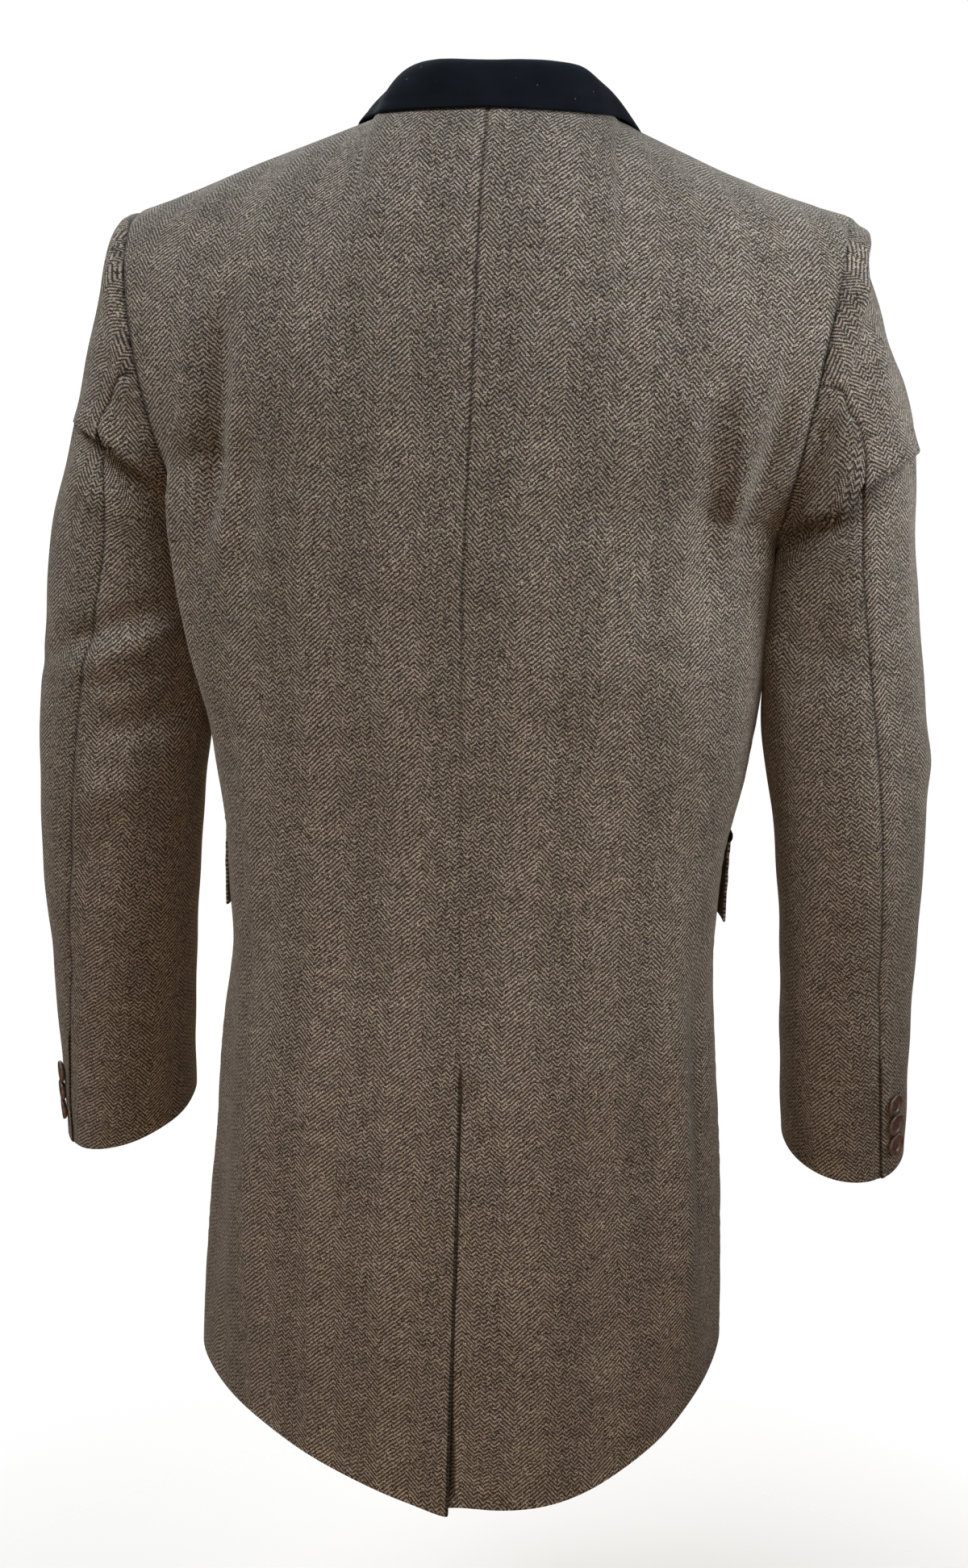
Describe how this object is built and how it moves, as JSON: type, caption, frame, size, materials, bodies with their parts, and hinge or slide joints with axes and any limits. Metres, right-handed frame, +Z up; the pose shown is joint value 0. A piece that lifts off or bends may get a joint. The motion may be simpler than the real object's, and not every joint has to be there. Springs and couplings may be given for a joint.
{
  "type": "tweed overcoat",
  "caption": "Thigh-length tailored overcoat in its worn, hollow shape: herringbone tweed with a dark collar, flap pockets, buttoned cuffs and a centre back vent.",
  "frame": {"origin": "middle of the neck opening at nape height, where a wearer's neck and shoulders carry the coat", "axes": "+Z up, -Y the way the wearer faces, +X the wearer's left"},
  "size_m": [0.6247, 0.3332, 0.9306],
  "materials": {
    "tweed": "woven wool herringbone, matte",
    "velvet": "dark navy pile cloth, matte",
    "horn": "brown horn, satin"
  },
  "bodies": {
    "root": {"back_left": "tweed", "back_right": "tweed", "front_left": "tweed", "front_right": "tweed", "topsleeve_left": "tweed", "topsleeve_right": "tweed", "undersleeve_left": "tweed", "undersleeve_right": "tweed", "lapel_left": "tweed", "lapel_right": "tweed", "pocket_flap_left": "tweed", "pocket_flap_right": "tweed", "collar_fall": "velvet", "collar_stand": "velvet", "pocket_jet_left": "velvet", "pocket_jet_right": "velvet", "front_button_1": "horn", "front_button_2": "horn", "front_button_3": "horn", "cuff_button_left_1": "horn", "cuff_button_left_2": "horn", "cuff_button_left_3": "horn", "cuff_button_right_1": "horn", "cuff_button_right_2": "horn", "cuff_button_right_3": "horn"}
  },
  "joints": []
}
